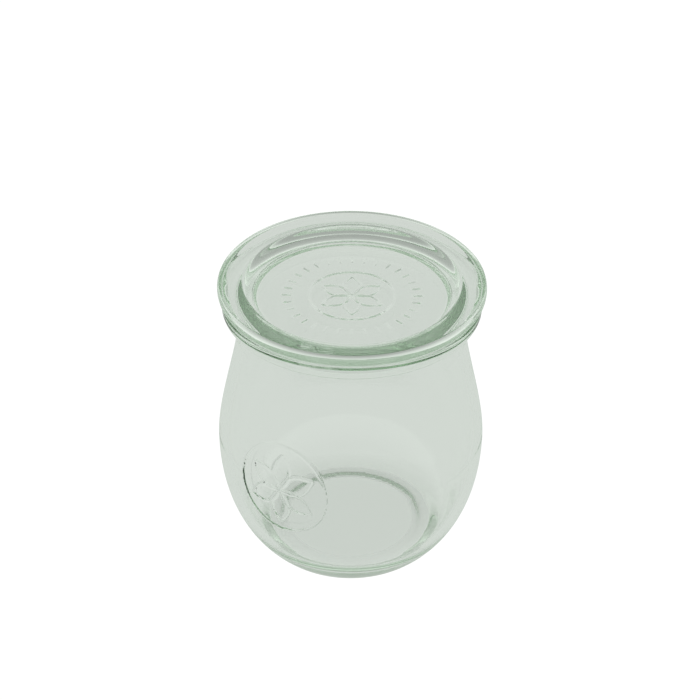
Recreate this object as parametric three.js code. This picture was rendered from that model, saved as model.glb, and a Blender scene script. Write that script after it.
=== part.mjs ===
// Small pressed glass preserving jar, tulip shaped, with a loose glass lid.
// Millimetres, +Z up. The origin is the centre of the ring that the jar stands on.
// Both pieces are turned about Z, so each one is a single closed outline of (radius, height).
import * as THREE from 'three';

// Jar, outside
const FOOT_RING_INNER = 22.2;
const FOOT_RING_OUTER = 23.4;
const FOOT_HOLLOW = 0.8;
const FOOT_SLOPE = 4.0;
const FOOT_RADIUS = 24.0;
const HEEL_SPREAD = 6.2;
const HEEL_RISE = 5.5;
const BELLY_RADIUS = 36.7;
const BELLY_HEIGHT = 34.5;
const BELLY_FULLNESS_BELOW = 18.5;
const BELLY_FULLNESS_ABOVE = 8.5;
const SHOULDER_RADIUS = 32.0;
const SHOULDER_HEIGHT = 58.0;
const NECK_RADIUS = 31.2;
const NECK_HEIGHT = 66.0;
const COLLAR_RADIUS = 31.0;

// Jar, flat rim that carries the lid
const JAR_HEIGHT = 78.5;
const RIM_RADIUS = 34.9;
const RIM_THICKNESS = 3.0;
const RIM_LOWER_ROUNDING = 1.2;
const RIM_UPPER_ROUNDING = 1.21;
const RIM_FILLET = 1.5;

// Jar, inside
const WALL = 2.6;
const NECK_WALL = 2.6;
const MOUTH_RADIUS = 28.3;
const MOUTH_ROUNDING = 0.8;
const FLOOR_THICKNESS = 5.0;
const FLOOR_RADIUS = 17.0;
const INNER_HEEL_FULLNESS = 8.0;
const INNER_HEEL_START = 0.52;
const FOOT_ROUNDING_END = 0.06;

// Lid, with heights above the seat, where it meets the jar's rim
const PLUG_RADIUS = 27.3;
const PLUG_TIP_RADIUS = 27.3;
const PLUG_DEPTH = 3.47;
const PLUG_ROUNDING = 1.0;
const PLUG_FILLET = 0.6;
const SEAT_RADIUS = 33.47;
const FLANK_SPREAD = 1.07;
const FLANK_RISE = 0.72;
const FLANK_FULLNESS = 2.3;
const LID_RADIUS = 36.0;
const LID_EDGE_HEIGHT = 3.84;
const LID_HEIGHT = 5.2;
const LAND_OUTER_RADIUS = 35.2;
const LAND_INNER_RADIUS = 29.6;
const LAND_INNER_HEIGHT = 4.5;
const LAND_CROWN = 0.1;
const LAND_OUTER_FULLNESS = 1.8;
const LAND_INNER_FULLNESS = 1.8;
const RECESS_LIP = 1.7;
const RECESS_FLOOR_HEIGHT = 0.2;
const RECESS_RADIUS = 25.0;
const RECESS_FILLET = 1.4;

// Facets round the axis, and along each stretch of an outline
const AROUND = 64;
const ALONG_CURVE = 9;
const ALONG_BEND = 4;
const CLOSEST_POINTS = 0.05;

function at(radius, height) {
  return new THREE.Vector2(radius, height);
}

// A smooth stretch of outline between two ends, each with its own handle.
function curve(start, startHandle, endHandle, end) {
  return new THREE.CubicBezierCurve(start, startHandle, endHandle, end);
}

// A quarter of an ellipse round the corner that the two ends would meet in.
function bend(start, corner, end) {
  const points = [];
  for (let step = 0; step <= ALONG_BEND; step += 1) {
    const angle = (step / ALONG_BEND) * (Math.PI / 2);
    const fromStart = 1 - Math.sin(angle);
    const fromEnd = 1 - Math.cos(angle);
    points.push(at(
      corner.x + (start.x - corner.x) * fromStart + (end.x - corner.x) * fromEnd,
      corner.y + (start.y - corner.y) * fromStart + (end.y - corner.y) * fromEnd,
    ));
  }
  return points;
}

// The place that lies a reach away from a point, in a given direction.
function lead(point, direction, reach) {
  return direction.clone().normalize().multiplyScalar(reach).add(point);
}

// Points that lie one wall thickness inside a stretch of outline, between two places on it.
// The wall changes evenly from its first thickness to its last.
function insetPoints(outline, from, to, firstWall, lastWall) {
  const points = [];
  for (let step = 0; step <= ALONG_CURVE; step += 1) {
    const share = step / ALONG_CURVE;
    const place = from + (to - from) * share;
    const wall = firstWall + (lastWall - firstWall) * share;
    const point = outline.getPoint(place);
    const along = outline.getTangent(place);
    points.push(at(point.x - along.y * wall, point.y + along.x * wall));
  }
  return points;
}

// Turns a closed outline about Z. Points that fall on each other are dropped first.
function turned(name, outline, colour, roughness) {
  const isApart = (point, index) => index === 0 || point.distanceTo(outline[index - 1]) > CLOSEST_POINTS;
  const apart = outline.filter(isApart);
  const geometry = new THREE.LatheGeometry(apart, AROUND);
  geometry.rotateX(Math.PI / 2);
  const material = new THREE.MeshStandardMaterial({ color: colour, roughness, metalness: 0 });
  const mesh = new THREE.Mesh(geometry, material);
  mesh.name = name;
  return mesh;
}

// The outside of the body below the belly, up from the edge of the foot.
function heelCurve() {
  return curve(
    at(FOOT_RADIUS, 0),
    at(FOOT_RADIUS + HEEL_SPREAD, HEEL_RISE),
    at(BELLY_RADIUS, BELLY_HEIGHT - BELLY_FULLNESS_BELOW),
    at(BELLY_RADIUS, BELLY_HEIGHT),
  );
}

// The hollow base, the soft slope out to the ring that the jar stands on, and the ring's rounded edge.
function footOutline() {
  const hollow = at(FOOT_RING_INNER - FOOT_SLOPE, FOOT_HOLLOW);
  const ring = at(FOOT_RING_INNER, 0);
  const bulge = FOOT_SLOPE / 2;
  const slope = curve(hollow, at(hollow.x + bulge, hollow.y), at(ring.x - bulge, ring.y), ring);
  const roundingEnd = heelCurve().getPoint(FOOT_ROUNDING_END);
  const rounding = new THREE.QuadraticBezierCurve(at(FOOT_RING_OUTER, 0), at(FOOT_RADIUS, 0), roundingEnd);
  return [at(0, FOOT_HOLLOW), ...slope.getPoints(ALONG_BEND), ...rounding.getPoints(ALONG_BEND)];
}

// Points of a stretch of outline between two places on it.
function pointsBetween(outline, from, to) {
  const points = [];
  for (let step = 0; step <= ALONG_CURVE; step += 1) {
    points.push(outline.getPoint(from + (to - from) * (step / ALONG_CURVE)));
  }
  return points;
}

// The outside of the body above the belly, up to the neck.
function shoulderCurve() {
  return curve(
    at(BELLY_RADIUS, BELLY_HEIGHT),
    at(BELLY_RADIUS, BELLY_HEIGHT + BELLY_FULLNESS_ABOVE),
    at(SHOULDER_RADIUS, SHOULDER_HEIGHT),
    at(NECK_RADIUS, NECK_HEIGHT),
  );
}

// The rim from the collar round its edge to the inside of the mouth.
function rimOutline() {
  const top = JAR_HEIGHT;
  const underside = top - RIM_THICKNESS;
  const lower = RIM_LOWER_ROUNDING;
  const upper = RIM_UPPER_ROUNDING;
  return [
    ...bend(
      at(COLLAR_RADIUS, underside - RIM_FILLET),
      at(COLLAR_RADIUS, underside),
      at(COLLAR_RADIUS + RIM_FILLET, underside),
    ),
    ...bend(at(RIM_RADIUS - lower, underside), at(RIM_RADIUS, underside), at(RIM_RADIUS, underside + lower)),
    ...bend(at(RIM_RADIUS, top - upper), at(RIM_RADIUS, top), at(RIM_RADIUS - upper, top)),
    ...bend(
      at(MOUTH_RADIUS + MOUTH_ROUNDING, top),
      at(MOUTH_RADIUS, top),
      at(MOUTH_RADIUS, top - MOUTH_ROUNDING),
    ),
  ];
}

// The inside, down from the mouth to the middle of the floor.
function hollowOutline() {
  const shoulder = insetPoints(shoulderCurve(), 1, 0, NECK_WALL, WALL);
  const belly = insetPoints(heelCurve(), 1, INNER_HEEL_START, WALL, WALL);
  const start = belly.at(-1);
  const downward = heelCurve().getTangent(INNER_HEEL_START).negate();
  const innerHeel = curve(
    start,
    lead(start, downward, INNER_HEEL_FULLNESS),
    at(FLOOR_RADIUS + INNER_HEEL_FULLNESS, FLOOR_THICKNESS),
    at(FLOOR_RADIUS, FLOOR_THICKNESS),
  );
  return [...shoulder, ...belly, ...innerHeel.getPoints(ALONG_CURVE), at(0, FLOOR_THICKNESS)];
}

function jar() {
  const outline = [
    ...footOutline(),
    ...pointsBetween(heelCurve(), FOOT_ROUNDING_END, 1),
    ...shoulderCurve().getPoints(ALONG_CURVE),
    ...rimOutline(),
    ...hollowOutline(),
  ];
  return turned('jar', outline, 0xd0d7d0, 0.05);
}

// The lid's underside: a plug that drops into the mouth, and the flat seat round it.
function lidUnderside() {
  const seat = JAR_HEIGHT;
  const bottom = seat - PLUG_DEPTH;
  const flare = (PLUG_RADIUS - PLUG_TIP_RADIUS) * (PLUG_ROUNDING / PLUG_DEPTH);
  return [
    at(0, bottom),
    ...bend(
      at(PLUG_TIP_RADIUS - PLUG_ROUNDING, bottom),
      at(PLUG_TIP_RADIUS, bottom),
      at(PLUG_TIP_RADIUS + flare, bottom + PLUG_ROUNDING),
    ),
    ...bend(at(PLUG_RADIUS, seat - PLUG_FILLET), at(PLUG_RADIUS, seat), at(PLUG_RADIUS + PLUG_FILLET, seat)),
    at(SEAT_RADIUS, seat),
  ];
}

// The lid's edge, from the seat up to the level land.
function lidEdge() {
  const edge = JAR_HEIGHT + LID_EDGE_HEIGHT;
  const top = JAR_HEIGHT + LID_HEIGHT;
  const flank = curve(
    at(SEAT_RADIUS, JAR_HEIGHT),
    at(SEAT_RADIUS + FLANK_SPREAD, JAR_HEIGHT + FLANK_RISE),
    at(LID_RADIUS, edge - FLANK_FULLNESS),
    at(LID_RADIUS, edge),
  );
  return [
    ...flank.getPoints(ALONG_BEND),
    ...bend(at(LID_RADIUS, edge), at(LID_RADIUS, top), at(LAND_OUTER_RADIUS, top)),
  ];
}

// The land, and the recess inside it with its steep wall and flat floor.
function lidRecess() {
  const top = JAR_HEIGHT + LID_HEIGHT;
  const inner = JAR_HEIGHT + LAND_INNER_HEIGHT;
  const floor = JAR_HEIGHT + RECESS_FLOOR_HEIGHT;
  const slope = LAND_CROWN / LAND_INNER_FULLNESS;
  const land = curve(
    at(LAND_OUTER_RADIUS, top),
    at(LAND_OUTER_RADIUS - LAND_OUTER_FULLNESS, top),
    at(LAND_INNER_RADIUS + LAND_INNER_FULLNESS, inner + LAND_CROWN),
    at(LAND_INNER_RADIUS, inner),
  );
  const wall = curve(
    at(LAND_INNER_RADIUS, inner),
    at(LAND_INNER_RADIUS - RECESS_LIP, inner - RECESS_LIP * slope),
    at(RECESS_RADIUS + RECESS_FILLET, floor),
    at(RECESS_RADIUS, floor),
  );
  return [...land.getPoints(ALONG_BEND), ...wall.getPoints(ALONG_CURVE), at(0, floor)];
}

function lid() {
  return turned('lid', [...lidUnderside(), ...lidEdge(), ...lidRecess()], 0xcdd6cd, 0.05);
}

const group = new THREE.Group();
group.add(jar(), lid());

export default group;
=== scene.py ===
import math

import bpy
import numpy as np
from bpy.props import FloatProperty, FloatVectorProperty, IntProperty, PointerProperty
from mathutils import Matrix, Vector


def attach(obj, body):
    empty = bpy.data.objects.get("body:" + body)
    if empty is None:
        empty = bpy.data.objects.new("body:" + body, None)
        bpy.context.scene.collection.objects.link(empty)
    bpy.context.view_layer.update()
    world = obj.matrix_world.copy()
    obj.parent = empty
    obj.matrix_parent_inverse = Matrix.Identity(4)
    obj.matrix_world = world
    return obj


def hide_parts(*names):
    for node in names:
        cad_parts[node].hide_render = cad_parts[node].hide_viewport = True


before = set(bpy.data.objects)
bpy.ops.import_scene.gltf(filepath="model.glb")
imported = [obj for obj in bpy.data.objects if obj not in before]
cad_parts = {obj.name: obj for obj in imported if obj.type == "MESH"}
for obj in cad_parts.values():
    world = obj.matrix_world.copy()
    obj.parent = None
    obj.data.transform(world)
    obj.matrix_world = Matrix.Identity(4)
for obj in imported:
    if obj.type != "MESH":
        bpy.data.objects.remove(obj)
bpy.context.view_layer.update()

bl_info = {
    "name": "Glass Tulip Jar",
    "version": (1, 0, 0),
    "blender": (4, 5, 0),
    "location": "View3D > Sidebar > Tulip Jar",
    "description": "Builds a small pressed glass tulip jar with its loose lid, and a plain white studio",
    "category": "Object",
}

MM = 0.001

# Spacing of the mesh
CLOSEST_POINTS = 0.008 * MM
STRAIGHT = 1.0 * MM
SUPPORT = 0.03 * MM
STEP_FINE = 0.3 * MM
STEP_ROUND = math.radians(2.25)
LID_STEPS = 360
CORNER_ANGLE = math.radians(35)

# Number of steps along each stretch of outline
HEEL_STEPS = 64
SHOULDER_STEPS = 38
INNER_HEEL_STEPS = 24
SOFT_STEPS = 14
COLLAR_STEPS = 10
BEND_STEPS = 8
SMALL_BEND_STEPS = 6
FLANK_STEPS = 20
RECESS_STEPS = 28

# The Mix node's colour sockets, by place
FIRST_COLOUR = 6
SECOND_COLOUR = 7
MIXED_COLOUR = 2


def length(name, description, millimetres):
    """A length property, with its default given in millimetres."""
    return FloatProperty(name=name, description=description, default=millimetres * MM, unit="LENGTH",
                         precision=5)


def share(name, description, default):
    """A property that is a share of something else."""
    return FloatProperty(name=name, description=description, default=default, subtype="FACTOR")


def angle(name, description, degrees):
    """An angle property, with its default given in degrees."""
    return FloatProperty(name=name, description=description, default=math.radians(degrees), unit="ROTATION")


class JarSizes(bpy.types.PropertyGroup):
    """Sizes of the jar without its lid"""
    height: length("Height", "Height of the jar without its lid", 78.5)
    foot_ring_inner: length("Foot ring inside", "Inner radius of the ring that the jar stands on", 22.2)
    foot_ring_outer: length("Foot ring outside", "Outer radius of the ring that the jar stands on", 23.4)
    foot_hollow: length("Foot hollow", "How far the base is raised inside the foot ring", 0.8)
    foot_slope: length("Foot slope", "Width of the soft slope from the foot ring up into the hollow", 4.0)
    foot_radius: length("Foot radius", "Radius where the body would meet the table", 24.0)
    foot_rounding_end: share("Foot rounding end", "Where the foot's rounding ends along the heel", 0.06)
    heel_spread: length("Heel spread", "How far the heel leads outward from the foot", 6.2)
    heel_rise: length("Heel rise", "How far the heel leads upward from the foot", 5.5)
    belly_radius: length("Belly radius", "Widest radius of the body", 36.7)
    belly_height: length("Belly height", "Height of the widest place", 34.5)
    fullness_below: length("Fullness below", "How full the body is below the belly", 18.5)
    fullness_above: length("Fullness above", "How full the body is above the belly", 8.5)
    shoulder_radius: length("Shoulder radius", "Radius that the shoulder leads to", 32.0)
    shoulder_height: length("Shoulder height", "Height that the shoulder leads to", 58.0)
    neck_radius: length("Neck radius", "Outer radius where the neck begins", 31.2)
    neck_height: length("Neck height", "Height where the neck begins", 66.0)
    collar_radius: length("Collar radius", "Outer radius of the neck just under the rim", 31.0)
    collar_fullness: length("Collar fullness", "How softly the neck leads into the collar", 2.0)
    rim_radius: length("Rim radius", "Outer radius of the flat rim", 34.9)
    rim_thickness: length("Rim thickness", "Height of the rim's edge", 3.0)
    rim_lower_rounding: length("Rim lower rounding", "Rounding of the rim's lower edge", 1.2)
    rim_upper_rounding: length("Rim upper rounding", "Rounding of the rim's upper edge", 1.21)
    rim_fillet: length("Rim fillet", "Fillet between neck and rim", 1.5)
    wall: length("Wall", "Thickness of the wall of the body", 2.6)
    neck_wall: length("Neck wall", "Thickness of the wall where the neck begins", 2.6)
    mouth_radius: length("Mouth radius", "Radius of the mouth", 28.3)
    mouth_rounding: length("Mouth rounding", "Rounding of the mouth's edge", 0.8)
    mouth_fullness: length("Mouth fullness", "How far the mouth leads straight down", 2.0)
    throat_fullness: length("Throat fullness", "How far the neck's inside leads up towards the mouth", 2.0)
    floor_thickness: length("Floor thickness", "Height of the floor inside the jar", 5.0)
    floor_radius: length("Floor radius", "Radius of the flat part of the floor", 17.0)
    inner_heel_start: share("Inner heel start", "Where the inside leaves the even wall, along the heel", 0.52)
    inner_heel_fullness: length("Inner heel fullness", "How round the inside is above the floor", 8.0)


class LidSizes(bpy.types.PropertyGroup):
    """Sizes of the lid"""
    air_gap: length("Air gap", "Thin air gap between the rim and the lid that rests on it", 0.06)
    plug_radius: length("Plug radius", "Radius of the plug that drops into the mouth", 27.3)
    plug_tip_radius: length("Plug tip radius", "Radius of the plug at its lower edge", 27.3)
    plug_depth: length("Plug depth", "Depth of the plug below the seat", 3.47)
    plug_rounding: length("Plug rounding", "Rounding of the plug's lower edge", 1.0)
    plug_fillet: length("Plug fillet", "Fillet between plug and seat", 0.6)
    seat_radius: length("Seat radius", "Outer radius of the flat seat", 33.47)
    flank_spread: length("Flank spread", "How far the flank leads outward from the seat", 1.07)
    flank_rise: length("Flank rise", "How far the flank leads upward from the seat", 0.72)
    flank_fullness: length("Flank fullness", "How full the flank is below the edge", 2.3)
    radius: length("Lid radius", "Outer radius of the lid", 36.0)
    edge_height: length("Edge height", "Height of the lid's edge above the seat", 3.84)
    height: length("Lid height", "Height of the lid above the seat", 5.2)
    land_outer: length("Land outside", "Outer radius of the flat land", 35.2)
    land_inner: length("Land inside", "Inner radius of the flat land", 29.6)
    land_inner_height: length("Land inner height", "Height of the land's inner edge above the seat", 4.5)
    land_crown: length("Land crown", "How far the land leads over its inner edge", 0.1)
    land_outer_fullness: length("Land outer fullness", "How far the land leads level from its outside", 1.8)
    land_inner_fullness: length("Land inner fullness", "How far the land leads straight to its inside", 1.8)
    recess_lip: length("Recess lip", "How softly the land turns down into the recess", 1.7)
    recess_floor: length("Recess floor", "Height of the recess floor above the seat", 0.2)
    recess_radius: length("Recess radius", "Radius of the recess floor", 25.0)
    recess_fillet: length("Recess fillet", "Fillet between the recess wall and floor", 1.4)


class ReliefSizes(bpy.types.PropertyGroup):
    """Sizes of the pressed lines on the jar's side and on the lid"""
    height: length("Relief height", "How far the pressed lines stand proud", 0.24)
    line_width: length("Line width", "Half width of a pressed line", 0.6)
    medallion_radius: length("Medallion radius", "Radius of the ring on the jar's side", 13.4)
    medallion_height: length("Medallion height", "Height of the medallion's middle", 37.0)
    medallion_turn: angle("Medallion turn", "Angle from the front to the medallion", -31)
    medallion_margin: FloatProperty(name="Medallion margin", default=1.15,
                                    description="Width of the fine mesh, as a multiple of the medallion's")
    rosette_radius: length("Rosette radius", "Radius of the ring round the lid's rosette", 11.5)
    petals: IntProperty(name="Petals", description="Number of petals in a rosette", default=6)
    petal_length: share("Petal length", "Length of a petal, as a share of the ring's radius", 0.8)
    petal_width: share("Petal width", "Half width of a petal, as a share of its length", 0.24)
    dash_ring: length("Dash ring", "Radius of the ring of dashes on the lid", 17.6)
    dash_length: length("Dash length", "Half length of a dash", 1.1)
    dash_width: length("Dash width", "Half width of a dash", 0.48)
    dashes: IntProperty(name="Dashes", description="Number of dashes on the lid", default=32)


class GlassFinish(bpy.types.PropertyGroup):
    """Looks of the glass"""
    refraction: FloatProperty(name="Refraction", description="Index of refraction", default=1.52)
    tint: FloatVectorProperty(name="Tint", description="Colour that the thick glass keeps", subtype="COLOR",
                              size=3, default=(0.0, 0.4, 0.0))
    depth: FloatProperty(name="Depth", description="Absorption per metre", default=7.0)
    waviness: share("Waviness", "Strength of the pressed surface's faint waves", 0.02)
    wave_height: length("Wave height", "Height of the surface's waves at full strength", 1.0)
    broad_waves: FloatProperty(name="Broad waves", description="Broad waves per metre", default=90.0)
    fine_waves: FloatProperty(name="Fine waves", description="Fine waves per metre", default=420.0)
    fine_share: share("Fine share", "Share of the fine waves in all waves", 0.2)
    wave_detail: FloatProperty(name="Wave detail", description="Number of finer layers in the waves",
                               default=2.0)
    stipple: FloatProperty(name="Stipple", description="Dots per metre on the foot ring", default=1200.0)
    stipple_height: FloatProperty(name="Stipple height", description="Height of a dot, in wave heights",
                                  default=6.0)
    stipple_roughness: share("Stipple roughness", "Roughness of the foot ring", 0.35)


class StudioSettings(bpy.types.PropertyGroup):
    """Floor, light and camera"""
    surround: FloatVectorProperty(name="Surround", description="Soft light that the glass sees below it",
                                  subtype="COLOR", size=3, default=(0.665, 0.705, 0.665))
    horizon: FloatProperty(name="Horizon", description="Light from all sides, as a share of that from below",
                           default=1.5)
    ceiling: FloatProperty(name="Ceiling", description="Light from above, as a share of that from below",
                           default=0.6)
    ceiling_start: share("Ceiling start", "Sine of the elevation where the ceiling begins", 0.8)
    backdrop: FloatProperty(name="Backdrop", description="Brightness of the white behind the jar",
                            default=1.05)
    # Painted contact shadow: how much of the floor's glow is taken away round the jar's foot
    painted_contact_shadow: share("Contact shade", "Share of the floor's light that the jar's foot takes away", 0.06)
    painted_shadow_from: share("Contact from", "Where the contact shade starts to fade, in foot radii", 0.8)
    painted_shadow_to: FloatProperty(name="Contact to", description="Where the contact shade ends, in foot radii",
                              default=1.4)
    floor_reach: length("Floor reach", "Half the width of the floor", 3000)
    floor_gap: length("Floor gap", "Thin air gap between the floor and the foot ring", 0.05)
    bounces: IntProperty(name="Bounces", description="How often light may turn inside the glass", default=48)
    distance: length("Camera distance", "From the camera to the middle of the rim", 596.6)
    elevation: angle("Elevation", "Camera's height above the level of the rim", 33.45)
    dip: angle("Dip", "How far the camera looks below the rim", 1.386)
    roll: angle("Roll", "Turn of the camera about its view", 0.5)
    sideways: length("Sideways", "Camera's place across the view", -0.4)
    lens: FloatProperty(name="Lens", description="Focal length in millimetres", unit="CAMERA", default=114.58)
    sensor: FloatProperty(name="Sensor", description="Width of the sensor in millimetres", unit="CAMERA",
                          default=36.0)


# Outlines

def curve(start, start_handle, end_handle, end, steps):
    """Points of a smooth stretch of outline between two ends, each with its own handle."""
    place = np.linspace(0, 1, steps + 1)[:, None]
    rest = 1 - place
    start, start_handle, end_handle, end = map(np.array, (start, start_handle, end_handle, end))
    return (rest ** 3 * start + 3 * rest ** 2 * place * start_handle
            + 3 * rest * place ** 2 * end_handle + place ** 3 * end)


def bend(start, corner, end, steps=BEND_STEPS):
    """Points of a quarter of an ellipse round the corner that its two ends would meet in."""
    turn = np.linspace(0, math.pi / 2, steps + 1)[:, None]
    start, corner, end = map(np.array, (start, corner, end))
    return corner + (start - corner) * (1 - np.sin(turn)) + (end - corner) * (1 - np.cos(turn))


def inside(points, wall):
    """Points that lie one wall thickness inside a stretch of outline; the wall may change along it."""
    along = np.gradient(points, axis=0)
    along /= np.linalg.norm(along, axis=1)[:, None]
    return points + np.reshape(wall, (-1, 1)) * np.column_stack((-along[:, 1], along[:, 0]))


def lead(points, reach):
    """The place that lies a reach beyond the first of some points, straight on from the second."""
    along = points[0] - points[1]
    return points[0] + along * (reach / np.linalg.norm(along))


def along_outline(points):
    """Distance along an outline at each of its points."""
    return np.concatenate(([0.0], np.cumsum(np.linalg.norm(np.diff(points, axis=0), axis=1))))


def joined(stretches, fine=()):
    """One outline from its stretches: straight parts get points close to their ends, so that they shade
    flat, and points every STEP_FINE inside the fine ranges of distance along it."""
    raw = np.concatenate([np.atleast_2d(np.array(stretch, dtype=float)) for stretch in stretches])
    points = [raw[0]]
    for point in raw[1:]:
        start = points[-1]
        gap = np.linalg.norm(point - start)
        if gap < CLOSEST_POINTS:
            continue
        if gap > STRAIGHT:
            points.append(start + (point - start) * SUPPORT / gap)
            points.append(point - (point - start) * SUPPORT / gap)
        points.append(point)
    points = np.array(points)
    distance = along_outline(points)
    wanted = set(distance)
    for low, high in fine:
        wanted |= set(np.arange(low, high, STEP_FINE))
    wanted = np.array(sorted(wanted))
    wanted = wanted[np.concatenate(([True], np.diff(wanted) > CLOSEST_POINTS))]
    return np.column_stack([np.interp(wanted, distance, points[:, axis]) for axis in (0, 1)])


def turned_mesh(name, outline, turns, relief):
    """A closed solid of revolution. relief(radius, height, turn) is how far a point stands proud."""
    along = np.gradient(outline, axis=0)
    along /= np.maximum(np.linalg.norm(along, axis=1), CLOSEST_POINTS)[:, None]
    radius, height = outline[1:-1, 0][:, None], outline[1:-1, 1][:, None]
    proud = relief(radius, height, turns[None, :])
    ring_radius = radius + proud * along[1:-1, 1][:, None]
    ring_height = height - proud * along[1:-1, 0][:, None]
    rings, count = ring_radius.shape
    body = np.stack((ring_radius * np.cos(turns), ring_radius * np.sin(turns), ring_height), axis=2)
    first, last = (0, 0, outline[0, 1]), (0, 0, outline[-1, 1])
    vertices = np.concatenate(([first], body.reshape(-1, 3), [last]))
    end = len(vertices) - 1
    index = 1 + np.arange(rings * count).reshape(rings, count)
    after = np.roll(index, -1, axis=1)
    quads = np.stack((index[:-1], after[:-1], after[1:], index[1:]), axis=2).reshape(-1, 4)
    first_fan = [(0, int(right), int(left)) for left, right in zip(index[0], after[0])]
    last_fan = [(int(left), int(right), end) for left, right in zip(index[-1], after[-1])]
    mesh = bpy.data.meshes.new(name)
    mesh.from_pydata(vertices.tolist(), [], first_fan + quads.tolist() + last_fan)
    mesh.update()
    mesh.polygons.foreach_set("use_smooth", [True] * len(mesh.polygons))
    mesh.set_sharp_from_angle(angle=CORNER_ANGLE)
    return mesh


def place_piece(name, mesh, material, node):
    """The finished piece, standing for its node and riding on the object."""
    piece = bpy.data.objects.new(name, mesh)
    bpy.context.scene.collection.objects.link(piece)
    mesh.materials.append(material)
    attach(piece, "root")
    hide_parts(node)
    return piece


# Pressed relief

def line_height(distance, half_width):
    """A rounded raised line: 1 on its middle, falling smoothly to 0 at its half width."""
    near = np.clip(1 - np.abs(distance) / half_width, 0, 1)
    return near * near * (3 - 2 * near)


def rosette(across, up, ring_radius, relief):
    """A plain ring with a rosette of petals inside it."""
    raised = line_height(np.hypot(across, up) - ring_radius, relief.line_width)
    petal_length = ring_radius * relief.petal_length
    petal_width = petal_length * relief.petal_width
    for petal in range(relief.petals):
        turn = math.pi / 2 + petal * 2 * math.pi / relief.petals
        along = across * math.cos(turn) + up * math.sin(turn)
        aside = -across * math.sin(turn) + up * math.cos(turn)
        edge = petal_width * np.sin(math.pi * np.clip(along / petal_length, 0, 1))
        distance = np.where((along > 0) & (along < petal_length), np.abs(aside) - edge, np.inf)
        raised = np.maximum(raised, line_height(distance, relief.line_width))
    return raised


def ring_of_dashes(radius, turn, relief):
    """A ring of short radial dashes."""
    pitch = 2 * math.pi / relief.dashes
    off = (turn + pitch / 2) % pitch - pitch / 2
    outside = np.maximum(np.abs(radius - relief.dash_ring) - relief.dash_length, 0)
    return line_height(np.hypot(off * radius, outside), relief.dash_width)


# Materials

class Amount:
    """A number that varies over a surface: an expression on it adds Math nodes, also with a plain number
    on its left."""

    def __init__(self, shader, socket):
        self.shader = shader
        self.socket = socket

    def combined(self, operation, first, second):
        """The number that a Math node makes of two others."""
        return self.shader.amount("ShaderNodeMath", {"operation": operation}, {0: first, 1: second})

    def __add__(self, other):
        return self.combined("ADD", self, other)

    __radd__ = __add__

    def __sub__(self, other):
        return self.combined("SUBTRACT", self, other)

    def __rsub__(self, other):
        return self.combined("SUBTRACT", other, self)

    def __mul__(self, other):
        return self.combined("MULTIPLY", self, other)

    __rmul__ = __mul__

    def __gt__(self, other):
        return self.combined("GREATER_THAN", self, other)

    def __lt__(self, other):
        return self.combined("LESS_THAN", self, other)


class Shader:
    """The nodes of one material or world."""

    def __init__(self, owner):
        owner.use_nodes = True
        self.tree = owner.node_tree
        self.tree.nodes.clear()

    def node(self, kind, settings=None, sockets=None):
        """A new node, with its settings, and a value or a link for each socket named."""
        made = self.tree.nodes.new(kind)
        for name, value in (settings or {}).items():
            setattr(made, name, value)
        for name, value in (sockets or {}).items():
            if isinstance(value, Amount):
                value = value.socket
            if isinstance(value, bpy.types.NodeSocket):
                self.tree.links.new(value, made.inputs[name])
            else:
                made.inputs[name].default_value = value
        return made

    def amount(self, kind, settings=None, sockets=None, output=0):
        """The number that a new node gives."""
        return Amount(self, self.node(kind, settings, sockets).outputs[output])


def glass_material(name, finish, foot_ring=None):
    """Clear pressed glass with a faint green body, faint surface waves, and a stippled foot ring."""
    material = bpy.data.materials.new(name)
    shader = Shader(material)
    place = shader.node("ShaderNodeTexCoord").outputs["Object"]
    broad = shader.amount("ShaderNodeTexNoise", sockets={
        "Vector": place, "Scale": finish.broad_waves, "Detail": finish.wave_detail})
    fine = shader.amount("ShaderNodeTexNoise", sockets={
        "Vector": place, "Scale": finish.fine_waves, "Detail": finish.wave_detail})
    waves = broad * (1 - finish.fine_share) + fine * finish.fine_share
    roughness = 0.0
    if foot_ring:
        inner, outer, top = foot_ring
        apart = shader.node("ShaderNodeSeparateXYZ", sockets={"Vector": place})
        x, y, z = (Amount(shader, out) for out in apart.outputs)
        square = x * x + y * y
        on_ring = (square > inner ** 2) * (square < outer ** 2) * (z < top)
        dots = shader.amount("ShaderNodeTexVoronoi", sockets={"Vector": place, "Scale": finish.stipple})
        waves = waves + on_ring * dots * finish.stipple_height
        roughness = on_ring * finish.stipple_roughness
    bump = shader.node("ShaderNodeBump", sockets={
        "Strength": finish.waviness, "Distance": finish.wave_height, "Height": waves})
    body = shader.node("ShaderNodeBsdfPrincipled", sockets={
        "Base Color": (1, 1, 1, 1), "Roughness": roughness, "IOR": finish.refraction,
        "Transmission Weight": 1.0, "Normal": bump.outputs[0]})
    depth = shader.node("ShaderNodeVolumeAbsorption", sockets={
        "Color": (*finish.tint, 1), "Density": finish.depth})
    shader.node("ShaderNodeOutputMaterial", sockets={"Surface": body.outputs[0], "Volume": depth.outputs[0]})
    return material


# Jar

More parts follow.
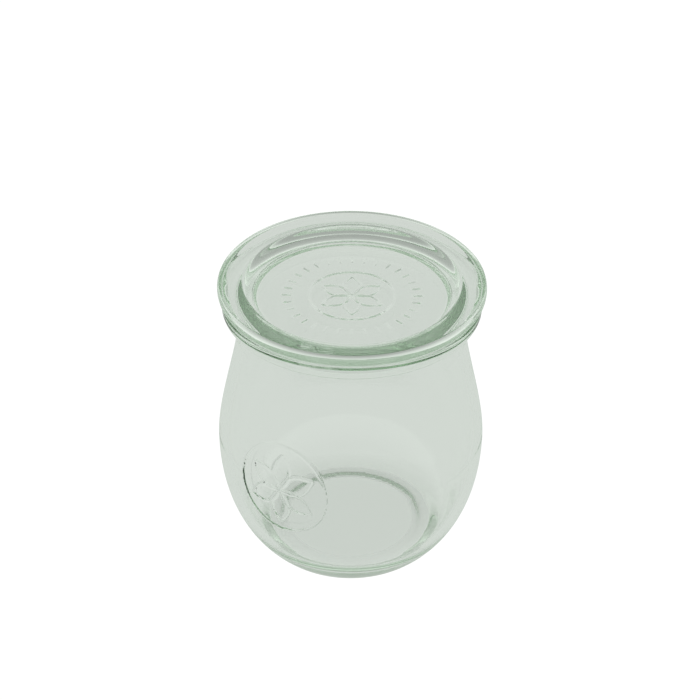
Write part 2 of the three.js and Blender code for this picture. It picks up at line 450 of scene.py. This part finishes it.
def jar_outline(sizes, fine=()):
    """The jar's closed outline: up the outside, round the rim, and down the inside to the floor."""
    top = sizes.height
    under = top - sizes.rim_thickness
    foot = (sizes.foot_radius, 0.0)
    belly = (sizes.belly_radius, sizes.belly_height)
    heel = curve(foot, (sizes.foot_radius + sizes.heel_spread, sizes.heel_rise),
                 (sizes.belly_radius, sizes.belly_height - sizes.fullness_below), belly, HEEL_STEPS)
    shoulder = curve(belly, (sizes.belly_radius, sizes.belly_height + sizes.fullness_above),
                     (sizes.shoulder_radius, sizes.shoulder_height),
                     (sizes.neck_radius, sizes.neck_height), SHOULDER_STEPS)

    outer_heel = heel[round(sizes.foot_rounding_end * HEEL_STEPS):]
    hollow = (sizes.foot_ring_inner - sizes.foot_slope, sizes.foot_hollow)
    bulge = sizes.foot_slope / 2
    slope = curve(hollow, (hollow[0] + bulge, hollow[1]), (sizes.foot_ring_inner - bulge, 0),
                  (sizes.foot_ring_inner, 0), SOFT_STEPS)
    rounding = curve((sizes.foot_ring_outer, 0), foot, foot, outer_heel[0], BEND_STEPS)

    neck, rim, fillet = sizes.collar_radius, sizes.rim_radius, sizes.rim_fillet
    lower, upper = sizes.rim_lower_rounding, sizes.rim_upper_rounding
    mouth, edge = sizes.mouth_radius, sizes.mouth_rounding
    collar_top = under - fillet
    collar = curve(shoulder[-1], lead(shoulder[::-1], sizes.collar_fullness),
                   (neck, collar_top - sizes.collar_fullness), (neck, collar_top), COLLAR_STEPS)

    inner_shoulder = inside(shoulder, np.linspace(sizes.wall, sizes.neck_wall, len(shoulder)))[::-1]
    inner_wall = inside(heel, sizes.wall)[round(sizes.inner_heel_start * HEEL_STEPS):][::-1]
    throat = curve((mouth, top - edge), (mouth, top - edge - sizes.mouth_fullness),
                   lead(inner_shoulder, sizes.throat_fullness), inner_shoulder[0], SOFT_STEPS)
    floor = (sizes.floor_radius, sizes.floor_thickness)
    inner_heel = curve(inner_wall[-1], lead(inner_wall[::-1], sizes.inner_heel_fullness),
                       (floor[0] + sizes.inner_heel_fullness, floor[1]), floor, INNER_HEEL_STEPS)
    return joined([
        [(0, sizes.foot_hollow)],
        slope,
        rounding,
        outer_heel,
        shoulder,
        collar,
        bend((neck, collar_top), (neck, under), (neck + fillet, under)),
        bend((rim - lower, under), (rim, under), (rim, under + lower)),
        bend((rim, top - upper), (rim, top), (rim - upper, top)),
        bend((mouth + edge, top), (mouth, top), (mouth, top - edge)),
        throat,
        inner_shoulder,
        inner_wall,
        inner_heel,
        [(0, sizes.floor_thickness)],
    ], fine)


class TULIPJAR_OT_jar(bpy.types.Operator):
    """Builds the glass jar, with a plain medallion pressed in its side"""
    bl_idname = "tulip_jar.jar"
    bl_label = "Glass jar"

    def execute(self, context):
        sizes = context.scene.jar_sizes
        relief = context.scene.jar_relief

        # The medallion's middle, as a distance along the outline, and the body's radius there
        plain = jar_outline(sizes)
        outer = (plain[:, 0] > sizes.foot_radius) & (np.arange(len(plain)) < np.argmax(plain[:, 1]))
        centre = np.interp(relief.medallion_height, plain[outer, 1], along_outline(plain)[outer])
        girth = np.interp(relief.medallion_height, plain[outer, 1], plain[outer, 0])

        reach = relief.medallion_radius + 2 * relief.line_width
        outline = jar_outline(sizes, [(centre - reach, centre + reach)])
        middle = -math.pi / 2 + relief.medallion_turn
        spread = reach / sizes.belly_radius * relief.medallion_margin
        turns = np.concatenate((
            np.arange(middle - spread, middle + spread, STEP_FINE / sizes.belly_radius),
            np.arange(middle + spread, middle - spread + 2 * math.pi, STEP_ROUND)))
        distance = along_outline(outline)
        measured = distance[1:-1][:, None]
        outside = measured < distance[np.argmax(outline[:, 1])]

        def pressed(radius, height, turn):
            across = (turn - middle + math.pi) % (2 * math.pi) - math.pi
            mark = rosette(across * girth, measured - centre, relief.medallion_radius, relief)
            return np.where(outside, mark * relief.height, 0.0)

        mesh = turned_mesh("jar_glass", outline, turns, pressed)
        ring = (sizes.foot_ring_inner - sizes.foot_slope, sizes.foot_radius, sizes.foot_hollow)
        material = glass_material("jar_glass", context.scene.jar_finish, ring)
        place_piece("jar_glass", mesh, material, "jar")
        return {"FINISHED"}


# Lid

def lid_outline(sizes, seat):
    """The lid's closed outline: the plug, the seat, the edge, the land and the recess."""
    lifted = seat + sizes.air_gap
    plug, tip, deep = sizes.plug_radius, sizes.plug_tip_radius, seat - sizes.plug_depth
    rounding, fillet = sizes.plug_rounding, sizes.plug_fillet
    flare = (plug - tip) * rounding / sizes.plug_depth
    edge, top = seat + sizes.edge_height, seat + sizes.height
    inner, floor = seat + sizes.land_inner_height, seat + sizes.recess_floor
    land_out, land_in = sizes.land_outer, sizes.land_inner
    crown, lip = sizes.land_crown, sizes.recess_lip
    slope = crown / sizes.land_inner_fullness
    flank = curve((sizes.seat_radius, lifted),
                  (sizes.seat_radius + sizes.flank_spread, lifted + sizes.flank_rise),
                  (sizes.radius, edge - sizes.flank_fullness), (sizes.radius, edge), FLANK_STEPS)
    land = curve((land_out, top), (land_out - sizes.land_outer_fullness, top),
                 (land_in + sizes.land_inner_fullness, inner + crown), (land_in, inner), FLANK_STEPS)
    wall = curve((land_in, inner), (land_in - lip, inner - lip * slope),
                 (sizes.recess_radius + sizes.recess_fillet, floor),
                 (sizes.recess_radius, floor), RECESS_STEPS)
    floor_rings = np.arange(sizes.recess_radius, STEP_FINE, -STEP_FINE)
    return joined([
        [(0, deep)],
        bend((tip - rounding, deep), (tip, deep), (tip + flare, deep + rounding)),
        bend((plug, lifted - fillet), (plug, lifted), (plug + fillet, lifted), SMALL_BEND_STEPS),
        flank,
        bend((sizes.radius, edge), (sizes.radius, top), (land_out, top)),
        land,
        wall,
        [(radius, floor) for radius in floor_rings],
        [(0, floor)],
    ])


class TULIPJAR_OT_lid(bpy.types.Operator):
    """Builds the loose glass lid, with a plain rosette and a ring of dashes pressed in its recess"""
    bl_idname = "tulip_jar.lid"
    bl_label = "Glass lid"

    def execute(self, context):
        sizes = context.scene.lid_sizes
        relief = context.scene.jar_relief
        seat = context.scene.jar_sizes.height
        above_plug = seat + sizes.recess_floor / 2

        def pressed(radius, height, turn):
            mark = rosette(radius * np.cos(turn), radius * np.sin(turn), relief.rosette_radius, relief)
            dashes = ring_of_dashes(radius, turn, relief)
            on_floor = (height > above_plug) & (radius < sizes.recess_radius)
            return np.where(on_floor, np.maximum(mark, dashes) * relief.height, 0.0)

        turns = np.linspace(0, 2 * math.pi, LID_STEPS, endpoint=False)
        mesh = turned_mesh("lid_glass", lid_outline(sizes, seat), turns, pressed)
        material = glass_material("lid_glass", context.scene.lid_finish)
        place_piece("lid_glass", mesh, material, "lid")
        return {"FINISHED"}


# Studio

def soft_light(shader, studio, dimmed):
    """The light of a soft white room: plain white behind the jar, and a little dimmer in the glass."""
    direct = shader.amount("ShaderNodeLightPath", output="Is Camera Ray")
    white = (studio.backdrop, studio.backdrop, studio.backdrop, 1)
    colour = shader.node("ShaderNodeMix", {"data_type": "RGBA"}, {
        "Factor": direct, FIRST_COLOUR: (*studio.surround, 1), SECOND_COLOUR: white})
    return {"Color": colour.outputs[MIXED_COLOUR], "Strength": direct * (1 - dimmed) + dimmed}


def fading(shader, value, start, end):
    """A number that goes smoothly from one value to another: start and end are (place, value)."""
    return shader.amount("ShaderNodeMapRange", {"interpolation_type": "SMOOTHSTEP"}, {
        "Value": value, "From Min": start[0], "From Max": end[0], "To Min": start[1], "To Max": end[1]})


class TULIPJAR_OT_studio(bpy.types.Operator):
    """Sets up the white floor, the soft even light and the camera"""
    bl_idname = "tulip_jar.studio"
    bl_label = "Studio"

    def execute(self, context):
        scene = context.scene
        studio = scene.jar_studio
        self.add_floor(scene, studio)
        self.add_room(scene, studio)
        self.add_camera(scene, studio)
        scene.view_settings.view_transform = "Standard"
        scene.cycles.max_bounces = studio.bounces
        scene.cycles.transmission_bounces = studio.bounces
        scene.cycles.glossy_bounces = studio.bounces
        return {"FINISHED"}

    def add_floor(self, scene, studio):
        """A white floor that glows evenly, with a painted contact shadow: it glows a little less round the
        jar's foot.
        """
        reach, level = studio.floor_reach, -studio.floor_gap
        corners = [(-reach, -reach, level), (reach, -reach, level), (reach, reach, level),
                   (-reach, reach, level)]
        mesh = bpy.data.meshes.new("floor")
        mesh.from_pydata(corners, [], [(0, 1, 2, 3)])
        floor = bpy.data.objects.new("floor", mesh)
        scene.collection.objects.link(floor)
        paint = bpy.data.materials.new("floor_white")
        shader = Shader(paint)
        place = shader.node("ShaderNodeTexCoord").outputs["Object"]
        off_axis = shader.amount("ShaderNodeVectorMath", {"operation": "LENGTH"}, {0: place}, "Value")
        foot = scene.jar_sizes.foot_radius
        # Painted contact shadow: the floor's glow is dimmed under and round the jar's foot
        shade = fading(shader, off_axis, (studio.painted_shadow_from * foot, 1 - studio.painted_contact_shadow),
                       (studio.painted_shadow_to * foot, 1.0))
        glow = shader.node("ShaderNodeEmission", sockets=soft_light(shader, studio, shade))
        shader.node("ShaderNodeOutputMaterial", sockets={"Surface": glow.outputs[0]})
        mesh.materials.append(paint)

    def add_room(self, scene, studio):
        """Even light from all round, brightest at the horizon and dimmest overhead."""
        world = bpy.data.worlds.new("soft_room")
        scene.world = world
        shader = Shader(world)
        place = shader.node("ShaderNodeTexCoord").outputs["Generated"]
        level = shader.node("ShaderNodeSeparateXYZ", sockets={"Vector": place}).outputs["Z"]
        dimmed = fading(shader, level, (0.0, studio.horizon), (studio.ceiling_start, studio.ceiling))
        sky = shader.node("ShaderNodeBackground", sockets=soft_light(shader, studio, dimmed))
        shader.node("ShaderNodeOutputWorld", sockets={"Surface": sky.outputs[0]})

    def add_camera(self, scene, studio):
        """The camera, looking down on the jar from the front."""
        data = bpy.data.cameras.new("camera")
        data.sensor_width = studio.sensor
        data.lens = studio.lens
        camera = bpy.data.objects.new("camera", data)
        scene.collection.objects.link(camera)
        scene.camera = camera
        away = studio.distance * math.cos(studio.elevation)
        above = studio.distance * math.sin(studio.elevation)
        place = Vector((studio.sideways, -away, scene.jar_sizes.height + above))
        pitch = math.pi / 2 - studio.elevation - studio.dip
        camera.matrix_world = (Matrix.Translation(place) @ Matrix.Rotation(pitch, 4, "X")
                               @ Matrix.Rotation(studio.roll, 4, "Z"))


class TULIPJAR_PT_panel(bpy.types.Panel):
    """Lists the pieces of the jar and its studio"""
    bl_idname = "TULIPJAR_PT_panel"
    bl_label = "Tulip Jar"
    bl_space_type = "VIEW_3D"
    bl_region_type = "UI"
    bl_category = "Tulip Jar"

    def draw(self, context):
        for operator in OPERATORS:
            self.layout.operator(operator.bl_idname)


GROUPS = {
    "jar_sizes": JarSizes,
    "lid_sizes": LidSizes,
    "jar_relief": ReliefSizes,
    "jar_finish": GlassFinish,
    "lid_finish": GlassFinish,
    "jar_studio": StudioSettings,
}
OPERATORS = (TULIPJAR_OT_jar, TULIPJAR_OT_lid, TULIPJAR_OT_studio)
CLASSES = (JarSizes, LidSizes, ReliefSizes, GlassFinish, StudioSettings, *OPERATORS, TULIPJAR_PT_panel)


def register():
    for item in CLASSES:
        bpy.utils.register_class(item)
    for name, group in GROUPS.items():
        setattr(bpy.types.Scene, name, PointerProperty(type=group))


def unregister():
    for name in GROUPS:
        delattr(bpy.types.Scene, name)
    for item in reversed(CLASSES):
        bpy.utils.unregister_class(item)


def main():
    register()
    bpy.ops.tulip_jar.jar()
    bpy.ops.tulip_jar.lid()
    bpy.ops.tulip_jar.studio()


if __name__ == "__main__":
    main()
